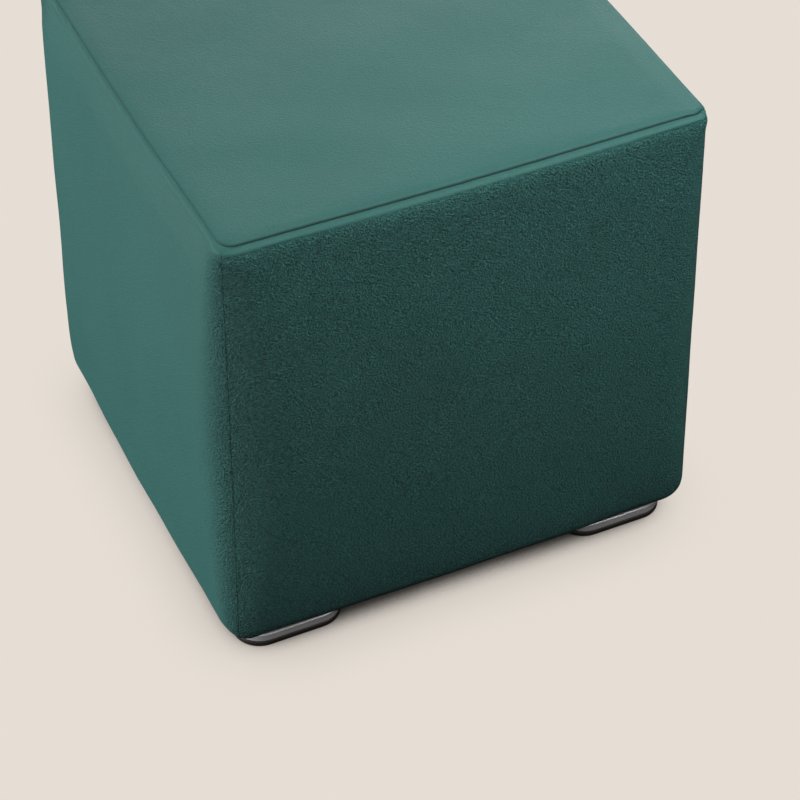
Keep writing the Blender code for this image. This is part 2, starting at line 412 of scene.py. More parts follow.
PROFILE = side_profile(EDGE_REACH, EDGE_DROP)
TIGHT_PROFILE = side_profile(TIGHT_REACH, TIGHT_DROP)
steps = np.hypot(*np.diff(PROFILE[:, :2], axis=0).T)
PROFILE_DISTANCE = np.concatenate([[0], np.cumsum(steps)])
PROFILE_LENGTH = PROFILE_DISTANCE[-1]
print("a side panel is", round(PROFILE_LENGTH * 1000), "mm from seam to turned-under edge")


def profile_at(distance, tight=0.0):
    """Inset, height and corner radius at distances along the line of a side."""
    rows = []
    for full, drawn in zip(PROFILE.T, TIGHT_PROFILE.T):
        own = np.interp(distance, PROFILE_DISTANCE, full)
        rows.append(own + tight * (np.interp(distance, PROFILE_DISTANCE, drawn) - own))
    return rows


# %% [markdown]
# ## What differs from side to side
#
# On the right the top panel is drawn over the edge, so its seam lies lower down there. The seam is
# drawn in deepest at the front. On the left the cloth is drawn tight over the edge. Each side has its
# own number for such things, and changes evenly to its neighbour's near a corner.

# %% What differs from side to side
SIDES = ("front", "right", "back", "left")
SEAM_PLACE = {"front": 0.0, "right": 0.0085, "back": 0.0, "left": 0.0}
TIGHTNESS = {"front": 0.0, "right": 0.0, "back": 0.0, "left": 1.0}
SEAM_DEPTH = {"front": 1.5, "right": 0.8, "back": 1.0, "left": 0.14}
SEAM_SHADE = {"front": 0.95, "right": 0.4, "back": 0.5, "left": 0.30}   # painted shade along the seam
BASE_SHADE = {"front": 0.75, "right": 0.5, "back": 0.4, "left": 0.0}    # painted shade along the base edge
GRAIN = {                # how strong the grain is on each piece, from 0 to 1
    "front": 1.0, "right": 0.9, "back": 0.9, "left": 0.17, "top": 0.10, "base": 0.5,
}
SEAM_TURN = 0.06         # share of a side over which these change near a corner
TIGHT_TURN = 0.12        # and over which the tightness changes


def eased(share):
    """A share from 0 to 1, with a soft start and a soft end."""
    share = np.clip(share, 0, 1)
    return share * share * (3 - 2 * share)


def along_side(values, side, parts, corner_share=0.5, turn=SEAM_TURN):
    """A side's number at parts from -1 at one corner to 1 at the next, and its change there."""
    index = SIDES.index(side)
    own, before, after = values[side], values[SIDES[index - 1]], values[SIDES[(index + 1) % 4]]
    start = min(own, before) + corner_share * abs(own - before)
    end = min(own, after) + corner_share * abs(own - after)
    near = eased((np.abs(parts) - 1 + turn) / turn)
    return own + (np.where(parts < 0, start, end) - own) * near


def seam_start(side, parts):
    """How far down the line of a side its top seam lies."""
    return along_side(SEAM_PLACE, side, parts, 0.25)


def tightness(side, parts):
    """How tight the cloth is drawn over the top edge."""
    return along_side(TIGHTNESS, side, parts, 0.0, TIGHT_TURN)


print("grain", GRAIN)

# %% [markdown]
# ## The push of the filling
#
# A filled cover bows out most in the middle of each panel and not at all at its seams. A cloth
# simulation finds that shape. A coarse box of cloth is held fast along its seams and a light pressure
# inside blows it up. The bulge of each face is then written as a sum of smooth waves, so that a finer
# surface can follow it, and scaled to the few millimetres that the stool shows.

# %% Cloth simulation
BOX_CELLS = 22           # grid cells along each edge of the coarse box
BOX_FRAMES = 20          # length of the simulation
PRESSURE = 4
BOX_HALF = np.array([WIDTH / 2, DEPTH / 2, (SEAM_HEIGHT - BASE) / 2])


def blow_up_box():
    """The points of the coarse box, from -1 to 1 each way, and how far the filling moves them."""
    builder = bmesh.new()
    bmesh.ops.create_cube(builder, size=2)
    edges = builder.edges[:]
    bmesh.ops.subdivide_edges(builder, edges=edges, cuts=BOX_CELLS - 1, use_grid_fill=True)
    data = built_mesh(builder, "coarse box")
    points = np.array([vertex.co for vertex in data.vertices])
    data.vertices.foreach_set("co", (points * BOX_HALF).ravel())
    box = add_object("coarse box", data)
    held = np.nonzero((np.abs(points) > 0.999).sum(axis=1) > 1)[0]
    box.vertex_groups.new(name="seams").add(held.tolist(), 1.0, "REPLACE")
    cloth = box.modifiers.new("cloth", "CLOTH")
    cloth.settings.quality = 6
    cloth.settings.mass = 0.01
    cloth.settings.air_damping = 4
    cloth.settings.use_pressure = True
    cloth.settings.uniform_pressure_force = PRESSURE
    cloth.settings.vertex_group_mass = "seams"
    cloth.settings.effector_weights.gravity = 0
    cloth.collision_settings.use_collision = False
    cloth.point_cache.frame_end = BOX_FRAMES
    for moment in range(1, BOX_FRAMES + 1):
        bpy.context.scene.frame_set(moment)
    settled = box.evaluated_get(bpy.context.evaluated_depsgraph_get())
    moved = np.array([vertex.co for vertex in settled.data.vertices]) - points * BOX_HALF
    bpy.data.objects.remove(box)
    bpy.data.meshes.remove(data)
    bpy.context.scene.frame_set(1)
    return points, moved


# %% The bulge of each face
BULGE_WAVES = 7          # waves each way that describe a face
FACES = {                # axis a face looks along, and which way; axis along it, and which way
    "front": (1, -1, 0, 1), "right": (0, 1, 1, 1), "back": (1, 1, 0, -1), "left": (0, -1, 1, -1),
    "top": (2, 1, 0, 1),
}


def bulge_waves(across):
    """The heights of each wave at places from -1 to 1."""
    count = np.arange(1, BULGE_WAVES + 1)
    return np.sin(math.pi / 2 * count * (np.asarray(across, dtype=float)[..., None] + 1))


def find_bulges():
    """How much of each pair of waves each face's bulge holds, scaled to a greatest height of 1."""
    points, moved = blow_up_box()
    if not np.isfinite(moved).all() or np.abs(moved).max() < 0.0001:
        print("the simulation gave no shape")
        return None
    bulges = {}
    for face, (axis, sign, along, way) in FACES.items():
        upwards = 1 if face == "top" else 2
        chosen = points[:, axis] * sign > 0.999
        first = bulge_waves(points[chosen, along] * way)
        second = bulge_waves(points[chosen, upwards])
        pairs = (first[:, :, None] * second[:, None, :]).reshape(len(first), -1)
        height = moved[chosen, axis] * sign
        shares = np.linalg.lstsq(pairs, height / height.max(), rcond=None)[0]
        bulges[face] = shares.reshape(BULGE_WAVES, BULGE_WAVES)
        print(face, "bulges", round(height.max() * 1000, 1), "mm in the simulation")
    return bulges


BULGES = find_bulges()


def bulge(face, first, second):
    """How far a face bows out at places from -1 to 1 each way, as a share of its greatest bow."""
    if BULGES is None:
        return (1 - np.asarray(first) ** 2) * (1 - np.asarray(second) ** 2)
    first, second = np.broadcast_arrays(first, second)
    return np.einsum("...m,...n,mn->...", bulge_waves(first), bulge_waves(second), BULGES[face])


# %% [markdown]
# ## A grid of points over a side
#
# A side panel ends half way round each upright corner, where it is sewn to its neighbours. Its grid
# has evenly spaced lines, with closer ones near the seams, where the cloth turns in. The corners are
# rounder half way up and at the base. The base edge sags a little at the near corner, and is drawn up
# at the back left one.

# %% Grid lines
EDGE_LINES = np.array([0.0, 0.0001, 0.0003, 0.0006, 0.0009, 0.0013, 0.0019, 0.0028, 0.0040])
TOP_LINES = np.concatenate([
    EDGE_LINES, np.arange(5.0, 8.0, 1.0) / 1000, np.arange(8.0, 14.1, 0.4) / 1000,
    np.arange(15.0, 30.0, 1.5) / 1000,
])
CELL = 0.0026            # spacing of the grid lines away from the seams


def spaced(length, start, end, cell=CELL):
    """Distances from 0 to a length: given ones from each end, even ones between."""
    last = length - end[::-1]
    count = int(round((last[0] - start[-1]) / cell))
    middle = np.linspace(start[-1], last[0], count + 1)[1:-1]
    return np.concatenate([start, middle, last])


print(len(TOP_LINES), "lines near the top seam")

# %% The upright corners
CORNERS = {
    # extra plan radius half way up, radius at the base, share that pushes the sides out, sag
    ("left", "front"): (0.024, 0.032, 0.25, 0.0045),
    ("front", "right"): (0.018, 0.032, 0.25, 0.0),
    ("right", "back"): (0.014, 0.032, 0.25, 0.0),
    ("back", "left"): (0.000, 0.032, 0.0, -0.006),
}
DRAW_UP_ROUNDING = 2.5   # how much rounder a corner gets where it is drawn up
DRAW_UP_HEIGHT = 0.045   # and how far up


def face_part(height):
    """From -1 at the base edge to 1 at the top edge."""
    return np.clip((2 * height - SIDE_LOW - SIDE_HIGH) / (SIDE_HIGH - SIDE_LOW), -1, 1)


def corner_shape(first, second, height, radius):
    """Plan radius of a corner between two sides at a height, and how far it pushes them out."""
    base_share = (SEAM_HEIGHT - height) / (SEAM_HEIGHT - BASE)
    swell, base_radius, push, sag = CORNERS[first, second]
    fullness = (1 - face_part(height) ** 2) ** 1.5
    rounder = swell * fullness + (base_radius - SIDE_CORNER) * base_share
    low = np.clip(1 - (height - BASE) / DRAW_UP_HEIGHT, 0, 1) ** 2
    return radius + rounder + max(-sag, 0) * DRAW_UP_ROUNDING * low, push * rounder


# %% One line across a side
SEAM_ANGLE = math.radians(45)
EDGE_BULGE = 0.002       # bow of a side in plan, along its top and bottom edges
FACE_BULGE = 0.004       # further bow of a side, half way up
PULL_DROP = 0.006        # drop over which the tighter corners pull the edge in
SAG_SHARE = 0.10         # share of a side over which the base edge sags towards a corner
LIFT_SHARE = 0.17        # and share over which it is drawn up
SAG_HEIGHT = 0.030       # it takes in the cloth below this height above the base
SAG_RISE = 0.025         # and grows over this much of it
SAG_INSET = 0.016        # it ends this far in under the body
SAG_FADE = 0.010         # and fades over this much
TURNS = {                # a side's points turned to their place
    "front": lambda along, out: (along, -out),
    "right": lambda along, out: (out, along),
    "back": lambda along, out: (-along, out),
    "left": lambda along, out: (-out, -along),
}


def side_line(side, inset, height, radius, parts):
    """Points along a side at a height. Each part is from -1 at one corner seam to 1 at the next."""
    before, after = SIDES[SIDES.index(side) - 1], SIDES[(SIDES.index(side) + 1) % 4]
    start_radius, start_push = corner_shape(before, side, height, radius)
    end_radius, end_push = corner_shape(side, after, height, radius)
    radius = np.where(parts < 0, start_radius, end_radius)
    push = np.where(parts < 0, start_push, end_push)
    height_share = (height - BASE) / (SEAM_HEIGHT - BASE)
    pull = (TOP_REACH - CORNER_REACH) * height_share
    pull *= np.clip((SEAM_HEIGHT - height) / PULL_DROP, 0, 1)
    drawn = TOP_DRAW_IN * height_share + inset + pull
    half_along, half_out = WIDTH / 2, DEPTH / 2
    if side in ("right", "left"):
        half_along, half_out = half_out, half_along
    straight = half_along - drawn + push - radius
    distance = np.abs(parts) * (straight + radius * SEAM_ANGLE)
    turn = np.clip(distance - straight, 0, None) / radius
    level = np.clip(distance / straight, 0, 1)
    along = np.sign(parts) * (level * straight + radius * np.sin(turn))
    bow = EDGE_BULGE * (1 - level ** 2) ** 2 + FACE_BULGE * bulge(side, parts, face_part(height))
    bow += pull * (1 - level ** 4) ** 2
    pushed = start_push + (end_push - start_push) * eased(parts / 2 + 0.5)
    out = half_out - drawn + pushed - radius * (1 - np.cos(turn)) + bow
    x, y = TURNS[side](along, out)
    sag = np.where(parts < 0, CORNERS[before, side][3], CORNERS[side, after][3])
    share = np.where(sag > 0, SAG_SHARE, LIFT_SHARE)
    near = eased((np.abs(parts) - 1 + share) / share)
    low = np.clip((BASE + SAG_HEIGHT - height) / SAG_RISE, 0, 1)
    low = eased(low * np.clip((SAG_INSET - inset) / SAG_FADE, 0, 1))
    return np.stack([x, y, height - sag * near * low], axis=-1)


# %% The grid of a side
def side_grid(side, distances, parts):
    """The outer face of a side: rows from the top seam down, columns from seam to seam."""
    start = seam_start(side, parts)
    tight = tightness(side, parts)
    places = [start + distance * (1 - start / PROFILE_LENGTH) for distance in distances]
    rows = [side_line(side, *profile_at(place, tight), parts) for place in places]
    return np.array(rows), np.array(places)


def grid_normals(grid):
    """Unit vectors that point out of a grid of points."""
    normals = np.cross(np.gradient(grid, axis=0), np.gradient(grid, axis=1))
    return normals / np.maximum(np.linalg.norm(normals, axis=-1, keepdims=True), 1e-12)


# %% [markdown]
# ## Soft unevenness
#
# Cloth over foam is never quite even. A sum of long waves in random directions lifts and lowers the
# surface by a fraction of a millimetre, and short ones pucker it along the seams. A fixed seed gives
# the same waves each time.

# %% Waves
def make_waves(seed, count, shortest, longest):
    random = np.random.default_rng(seed)
    directions = random.normal(size=(count, 3))
    directions /= np.linalg.norm(directions, axis=1, keepdims=True)
    lengths = random.uniform(shortest, longest, count)
    phases = random.uniform(0, 2 * math.pi, count)
    return directions * (2 * math.pi / lengths)[:, None], phases


def wave_height(points, waves):
    """Smooth random heights, about -1 to 1, at points in space."""
    directions, phases = waves
    total = np.zeros(points.shape[:-1])
    for direction, phase in zip(directions, phases):
        total += np.sin(points @ direction + phase)
    return total * math.sqrt(2 / len(phases)) / 2


# %% Swell, puckers and sewn edges
BROAD_WAVES = make_waves(11, 24, 0.070, 0.160)
FINE_WAVES = make_waves(12, 32, 0.014, 0.030)
PUCKER_WAVES = make_waves(13, 40, 0.006, 0.016)
CREASE_WAVES = make_waves(14, 24, 0.012, 0.050)
BROAD_SWELL = 0.0005
FINE_SWELL = 0.00006
SWELL_EASE = 0.02        # distance from a seam over which the swell grows
PUCKER = 0.00010
PUCKER_REACH = 0.006
PANEL_EDGE = 0.0007      # radius to which a side panel turns in at the top seam
CORNER_EDGE = 0.0005     # radius to which it turns in at the corner seams
TOP_EDGE = 0.0024        # radius to which the fuller top panel turns in


def soft_swell(points, distance):
    """The unevenness of the cloth, less near a seam, where small puckers take its place."""
    swell = BROAD_SWELL * wave_height(points, BROAD_WAVES)
    swell += FINE_SWELL * wave_height(points, FINE_WAVES)
    pucker = PUCKER * wave_height(points, PUCKER_WAVES) * np.exp(-distance / PUCKER_REACH)
    return swell * np.clip(distance / SWELL_EASE, 0, 1) + pucker


def edge_turn(distance, radius=PANEL_EDGE):
    """How far the cloth has turned in, at a distance from its sewn edge."""
    short = np.clip(radius - distance, 0, radius)
    return radius - np.sqrt(radius ** 2 - short ** 2)


print("cloth swells by", BROAD_SWELL * 1000, "mm")

# %% [markdown]
# ## Side panels
#
# Each side panel is one sheet of padded cloth. Its outer face is the grid above, pushed out by the
# unevenness and pulled in at the sewn edges. Its inner face is the same grid, 3 mm further in, and a
# strip round the edge closes the two into one thin solid.

# %% Mesh helpers
def mesh_piece(name, points, faces, material):
    """A smooth mesh object whose faces point out."""
    data = bpy.data.meshes.new(name)
    data.from_pydata(points, [], faces)
    builder = bmesh.new()
    builder.from_mesh(data)
    bmesh.ops.recalc_face_normals(builder, faces=builder.faces)
    builder.to_mesh(data)
    builder.free()
    data.shade_smooth()
    data.materials.append(material)
    return add_object(name, data)


def set_cloth(piece, grain, painted_shade=0.0):
    """How strong the grain is and how much painted shade darkens the nap, as a number or one a point.
    """
    for name, numbers in (("grain", grain), ("painted_shade", painted_shade)):
        attribute = piece.data.attributes.new(name, "FLOAT", "POINT")
        values = np.broadcast_to(np.asarray(numbers, dtype=np.float32), len(piece.data.vertices))
        attribute.data.foreach_set("value", np.ascontiguousarray(values))


def net_faces(net):
    """The faces of a net of point numbers."""
    corners = [net[:-1, :-1], net[1:, :-1], net[1:, 1:], net[:-1, 1:]]
    return np.stack([corner.ravel() for corner in corners], axis=1)


def net_rim(net):
    """The numbers round a net, once round."""
    return np.concatenate([net[0, :-1], net[:-1, -1], net[-1, :0:-1], net[:0:-1, 0]])


def ring_faces(first, second):
    """The faces between two closed rings of point numbers."""
    return np.stack([first, np.roll(first, -1), np.roll(second, -1), second], axis=1)


def closed_sheet(outer, inner):
    """Points and faces of a sheet between two grids of the same shape."""
    points = np.concatenate([outer.reshape(-1, 3), inner.reshape(-1, 3)])
    nets = np.arange(len(points)).reshape(2, *outer.shape[:2])
    rims = ring_faces(net_rim(nets[0]), net_rim(nets[1]))
    return points, np.concatenate([net_faces(nets[0]), net_faces(nets[1]), rims])


# %% Side panels
CREASE_PLACE = 0.0090    # distance of the crease from the top seam
CREASE_WIDTH = 0.0014
CREASE_DEPTH = 0.00012
CREASE_CHANGE = 0.8      # how much its depth varies along it
CREASE_EASE = 0.01       # it fades out over this distance to a corner
SEAM_SLIT = 0.0001       # the panels nearly touch at the corner seams
DEEPEST = 0.8            # share of the cloth's thickness that may be pressed away
BRUSHED_START = 0.007    # distance from the top seam where the side's own grain starts
BRUSHED_EASE = 0.006     # and distance over which it grows
GRAIN_TURN = 0.035       # and over which it turns to the front's near the upright corners
SEAM_SHADE_REACH = 0.0009   # width of the painted shade along the top seam
BASE_SHADE_REACH = 0.018


def make_side_panel(side):
    half_along = (WIDTH if side in ("front", "back") else DEPTH) / 2
    length = 2 * (half_along - SIDE_CORNER + SIDE_CORNER * SEAM_ANGLE)
    from_seam = spaced(length, EDGE_LINES, EDGE_LINES)
    parts = (2 * from_seam / length - 1) * (1 - SEAM_SLIT / length)
    distances = spaced(PROFILE_LENGTH, TOP_LINES, EDGE_LINES)
    grid, places = side_grid(side, distances, parts)
    normals = grid_normals(grid)
    to_corner = np.minimum(from_seam, length - from_seam)[None, :]
    to_top = distances[:, None]
    to_base = (PROFILE_LENGTH - distances)[:, None]

    lift = soft_swell(grid, np.minimum(np.minimum(to_corner, to_top), to_base))
    lift -= edge_turn(to_top) * along_side(SEAM_DEPTH, side, parts)
    lift -= edge_turn(to_base)
    lift -= edge_turn(to_corner, CORNER_EDGE)
    crease = CREASE_DEPTH * np.exp(-((places - CREASE_PLACE) / CREASE_WIDTH) ** 2)
    crease *= 1 + CREASE_CHANGE * wave_height(grid, CREASE_WAVES)
    lift -= crease * np.clip(to_corner / CREASE_EASE, 0, 1)
    lift = np.maximum(lift, -CLOTH * DEEPEST)
    outer = grid + normals * lift[..., None]
    inner = grid - normals * CLOTH
    panel = mesh_piece("side_cloth_" + side, *closed_sheet(outer, inner), green_cloth)

    own = np.clip(1 - to_corner / GRAIN_TURN, 0, 1) ** 2
    own = GRAIN[side] + (GRAIN["front"] - GRAIN[side]) * own
    grain_shown = GRAIN["top"] + (own - GRAIN["top"]) * eased((places - BRUSHED_START) / BRUSHED_EASE)
    # Painted shade: a dark line along the top seam.
    painted_shade = np.clip(1 - to_top / SEAM_SHADE_REACH, 0, 1) * along_side(SEAM_SHADE, side, parts)
    # Painted shade that darkens the cloth towards the base edge, most on the front, none on the lit
    # left.
    base_shade_fade = np.exp(-np.clip(grid[..., 2] - BASE, 0, None) / BASE_SHADE_REACH)
    painted_shade = np.maximum(painted_shade, base_shade_fade * along_side(BASE_SHADE, side, parts))
    set_cloth(panel, np.tile(grain_shown.ravel(), 2), np.tile(painted_shade.ravel(), 2))

    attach(panel, "root")
    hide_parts("side_panel_" + side)


for side in SIDES:
    make_side_panel(side)

# %% [markdown]
# ## Top panel and filling
#
# The top panel is drawn over the filling and crowns a little in its middle. It is built as rings
# that follow the seam and shrink towards the middle, so that its edge turns in evenly all round. A
# square net fills the last ring. The same solid runs on down inside the side panels, as the filling
# does.

# %% The surface of the top panel
TOP_FULLNESS = 0.0030    # how far the top panel stands above its seam, near the edge
TOP_CROWN = 0.0020       # further rise of the top panel in its middle
SEAM_DIP = {"front": 0.0014, "right": 0.0014, "back": 0.0014, "left": 0.0024}  # lean to its seam
DIP_REACH = 0.0045       # distance over which most of that lean happens
SEAM_LAP = 0.0003        # the top panel runs on a little under the edge of the side panels
RING_REACH = 0.030       # the rings that follow the seam stop this far inside it
OVER_START = 0.020       # where the panel runs over the edge, it thins from this far inside
OVER_EASE = 0.024        # over this distance
OVER_SHARE = 0.5         # by this share of its fullness
OVER_SEAM = 0.004        # if its seam lies at least this low


def crown_height(x, y, distance, dip=0.0, over=0.0):
    """How far the top panel stands above its seam. Less where it runs over the edge."""
    half_x = WIDTH / 2 - SEAM_INSET
    half_y = DEPTH / 2 - SEAM_INSET
    crown = bulge("top", np.clip(x / half_x, -1, 1), np.clip(y / half_y, -1, 1))
    lean = dip * np.exp(-distance / DIP_REACH)
    return (TOP_FULLNESS - lean) * (1 - over) + TOP_CROWN * crown


def top_line(side, distance, parts):
    """Points of the top panel on one side, at a distance inside its seam."""
    start = seam_start(side, parts)
    place = start - distance * (1 + start / RING_REACH)
    inwards = np.clip(-place, 0, None)
    inset, height, radius = profile_at(np.clip(place, 0, None), tightness(side, parts))
    radius = radius * (1 - inwards / RING_REACH / 2)
    points = side_line(side, inset + inwards - SEAM_LAP * (start == 0), height, radius, parts)
    over = OVER_SHARE * np.clip(start / OVER_SEAM, 0, 1) * eased((place + OVER_START) / OVER_EASE)
    dip = along_side(SEAM_DIP, side, parts)
    rise = crown_height(points[:, 0], points[:, 1], distance, dip, over)
    points[:, 2] += rise + soft_swell(points, distance)
    points[:, 2] -= edge_turn(distance, TOP_EDGE) * along_side(SEAM_DEPTH, side, parts)
    return points


# %% Rings round the body
def body_ring(inset, height, radius, parts):
    """A closed ring round the whole body."""
    return np.concatenate([side_line(side, inset, height, radius, parts)[:-1] for side in SIDES])


def inner_ring(place, depth, parts):
    """A closed ring inside the side panels, at a distance down their line."""
    lines = []
    for side in SIDES:
        inset, height, radius = profile_at(np.full_like(parts, place), tightness(side, parts))
        lines.append(side_line(side, inset + depth, height, radius - depth, parts)[:-1])
    return np.concatenate(lines)


def filled_patch(front, right, back, left, parts):
    """A square net of points that fills the ring of these four lines."""
    u = (parts / 2 + 0.5)[None, :, None]
    v = (parts / 2 + 0.5)[:, None, None]
    low, high = front[None], back[::-1][None]
    first, last = left[::-1][:, None], right[:, None]
    corners = ((1 - u) * (1 - v) * front[0] + u * (1 - v) * front[-1]
               + (1 - u) * v * back[-1] + u * v * back[0])
    return (1 - v) * low + v * high + (1 - u) * first + u * last - corners


# %% Top cushion
CROWN_CELL = 0.0026
TOP_SEAM_SHADE_REACH = 0.0016    # width of the painted shade along the top panel's edge
TUCK_DROP = 0.0055       # how far below the seam the solid runs in under the cloth
WALL_START = 0.019       # its wall starts this far down the line of a side
WALL_GAP = 0.0012        # further clearance between it and the side panels
WALL_RINGS, ROLL_RINGS = 16, 7
LOW_PLACE = PROFILE_LENGTH - (TURN_UNDER - BASE_ROLL) - BASE_ROLL * math.pi / 2


def make_top_cushion():
    count = int(WIDTH / CROWN_CELL)
    parts = np.linspace(-1, 1, count)
    patch = filled_patch(*[top_line(side, RING_REACH, parts) for side in SIDES], parts)
    patch[..., 2] = SEAM_HEIGHT + crown_height(patch[..., 0], patch[..., 1], RING_REACH)
    patch[..., 2] += soft_swell(patch, RING_REACH)
    net = np.arange(count * count).reshape(count, count)

    rings = []
    painted_shade = [np.zeros(count * count)]
    ring_lines = np.concatenate([EDGE_LINES, np.arange(5.0, 30.0, 1.6) / 1000])
    for distance in ring_lines[::-1]:
        rings.append(np.concatenate([top_line(side, distance, parts)[:-1] for side in SIDES]))
        # Painted shade along the top panel's edge at the seam.
        shade = np.clip(1 - distance / TOP_SEAM_SHADE_REACH, 0, 1)
        painted_shade += [shade * along_side(SEAM_SHADE, side, parts)[:-1] for side in SIDES]

    below = CLOTH + GAP
    rings.append(body_ring(TOP_REACH - SEAM_LAP, SEAM_HEIGHT - TUCK_DROP, SEAM_CORNER, parts))
    for place in np.linspace(WALL_START, LOW_PLACE, WALL_RINGS):
        rings.append(inner_ring(place, below + WALL_GAP, parts))
    for angle in np.linspace(0, math.pi / 2, ROLL_RINGS)[1:]:
        reach = (BASE_ROLL - below) * math.cos(angle)
        height = SIDE_LOW - (BASE_ROLL - below) * math.sin(angle)
        rings.append(body_ring(BASE_ROLL - reach, height, SIDE_CORNER - BASE_ROLL + reach, parts))
    rings.append(body_ring(TURN_UNDER, BASE + below, UNDER_CORNER, parts))

    rings = np.array(rings)
    numbers = net.size + np.arange(rings.size // 3).reshape(rings.shape[:2])
    faces = [net_faces(net), ring_faces(net_rim(net), numbers[0])]
    faces += [ring_faces(first, second) for first, second in zip(numbers, numbers[1:])]
    faces = np.concatenate(faces).tolist() + [numbers[-1].tolist()]
    points = np.concatenate([patch.reshape(-1, 3), rings.reshape(-1, 3)])
    piece = mesh_piece("top_cushion", points, faces, green_cloth)
    painted_shade = np.concatenate(painted_shade)
    set_cloth(piece, GRAIN["top"], np.pad(painted_shade, (0, len(points) - len(painted_shade))))

    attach(piece, "root")
    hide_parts("top_panel_filled")
    print(piece.name, len(piece.data.polygons), "faces")


make_top_cushion()

# %% [markdown]
# ## Underside
#
# A flat panel of the same cloth closes the underside, inside the turned-under edges of the side
# panels. It is a square net between its four edges, a little full in the middle, and its rim turns
# up into the seam.

# %% Base panel
BASE_FULLNESS = 0.0012
BASE_CELL = 0.0045


def make_base_cloth():
    size_x = WIDTH - 2 * TURN_UNDER
    size_y = DEPTH - 2 * TURN_UNDER
    lines = spaced(size_x, EDGE_LINES, EDGE_LINES, BASE_CELL)
    parts = 2 * lines / size_x - 1
    edges = [side_line(side, TURN_UNDER + GAP, BASE, UNDER_CORNER, parts) for side in SIDES]
    net = filled_patch(*edges, parts)
    rim = np.minimum(lines, size_x - lines)
    rim = np.minimum(rim[:, None], rim[None, :])
    full = (1 - parts ** 2) ** 2
    lower = net.copy()
    lower[..., 2] += edge_turn(rim) - BASE_FULLNESS * full[:, None] * full - soft_swell(net, rim)
    upper = net + np.array([0, 0, CLOTH])
    panel = mesh_piece("base_cloth", *closed_sheet(lower, upper), green_cloth)
    set_cloth(panel, GRAIN["base"])
    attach(panel, "root")
    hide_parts("base_panel")
    size = [round(size_x, 4), round(size_y, 4)]
    print(panel.name, "cut", size, len(panel.data.polygons), "faces")


make_base_cloth()

# %% [markdown]
# ## Feet
#
# Each foot is a low black moulding, 100 mm square with round corners, and a satin metal band lies
# round it on its rim. Both shapes follow a rule: a rounded square that is swept or raised. So they
# are made with Geometry Nodes, once each, with the sizes as named inputs, and baked for every place.

# %% Sizes of the feet
FOOT_SIZE = 0.100
FOOT_CORNER = 0.025
FOOT_INSET = 0.015       # from the sides of the body, measured at the base
GLIDE_HEIGHT = 0.0055    # the rim that stands on the floor
BAND_HEIGHT = 0.0082
BAND_WALL = 0.0034
BAND_EDGE = 0.0015       # rounding along the band's edges
CORNER_SEGMENTS = 14
FOOT_X = WIDTH / 2 - FOOT_INSET - FOOT_SIZE / 2
FOOT_Y = DEPTH / 2 - FOOT_INSET - FOOT_SIZE / 2
FOOT_PLACES = {
    "front_left": (-FOOT_X, -FOOT_Y), "front_right": (FOOT_X, -FOOT_Y),
    "back_right": (FOOT_X, FOOT_Y), "back_left": (-FOOT_X, FOOT_Y),
}
print("feet at", FOOT_PLACES["front_right"])


# %% Geometry node helpers
def new_tree(name, inputs):
    """A geometry node tree with these named inputs and one geometry output."""
    tree = bpy.data.node_groups.new(name, "GeometryNodeTree")
    for label, kind in inputs:
        tree.interface.new_socket(label, in_out="INPUT", socket_type="NodeSocket" + kind)
    tree.interface.new_socket("Geometry", in_out="OUTPUT", socket_type="NodeSocketGeometry")
    return tree, tree.nodes.new("NodeGroupInput").outputs


def rounded_rectangle(tree, width, height, radius, segments):
    """A closed curve: a rectangle with round corners."""
    inputs = {"Width": width, "Height": height}
    sharp = add_step(tree, "GeometryNodeCurvePrimitiveQuadrilateral", inputs)
    inputs = {"Curve": sharp, "Count": segments, "Radius": radius}
    return add_step(tree, "GeometryNodeFilletCurve", inputs, mode="POLY")


def finish_tree(tree, geometry, place, finish):
    """Put the piece in its place, smooth it, give it its finish and end the tree."""
    inputs = {"Geometry": geometry, "Translation": place}
    moved = add_step(tree, "GeometryNodeTransform", inputs)
    smooth = add_step(tree, "GeometryNodeSetShadeSmooth", {"Geometry": moved})
    real = add_step(tree, "GeometryNodeRealizeInstances", {"Geometry": smooth})
    done = add_step(tree, "GeometryNodeSetMaterial", {"Geometry": real, "Material": finish})
    tree.links.new(done, tree.nodes.new("NodeGroupOutput").inputs["Geometry"])


def bake_tree(name, tree, settings):
    """A plain mesh object made by a tree with these settings."""
    piece = add_object(name, bpy.data.meshes.new(name))
    modifier = piece.modifiers.new("maker", "NODES")
    modifier.node_group = tree
    for item in tree.interface.items_tree:
        if item.in_out == "INPUT":
            modifier[item.identifier] = settings[item.name]
    graph = bpy.context.evaluated_depsgraph_get()
    baked = bpy.data.meshes.new_from_object(piece.evaluated_get(graph), depsgraph=graph)
    piece.modifiers.clear()
    piece.data = baked
    baked.name = name
    return piece


# %% [markdown]
# ### The band
#
# The band is a strip of metal bent round the foot. Its section is a small rounded rectangle, and it
# is swept along the rounded square that runs through the middle of the strip.

# %% Band tree
def make_band_tree():
    tree, given = new_tree("foot band", (
        ("Place", "Vector"), ("Size", "Float"), ("Corner", "Float"), ("Wall", "Float"),
        ("Height", "Float"), ("Edge", "Float"), ("Finish", "Material"),
    ))
    middle = add_math(tree, "SUBTRACT", given["Size"], given["Wall"])
    half_wall = add_math(tree, "DIVIDE", given["Wall"], 2.0)
    bend = add_math(tree, "SUBTRACT", given["Corner"], half_wall)
    path = rounded_rectangle(tree, middle, middle, bend, CORNER_SEGMENTS)
    section = rounded_rectangle(tree, given["Wall"], given["Height"], given["Edge"], 4)
    inputs = {"Curve": section, "Length": 0.0004}
    even = add_step(tree, "GeometryNodeResampleCurve", inputs, mode="LENGTH")
    strip = add_step(tree, "GeometryNodeCurveToMesh", {"Curve": path, "Profile Curve": even})
    finish_tree(tree, strip, given["Place"], given["Finish"])
    return tree


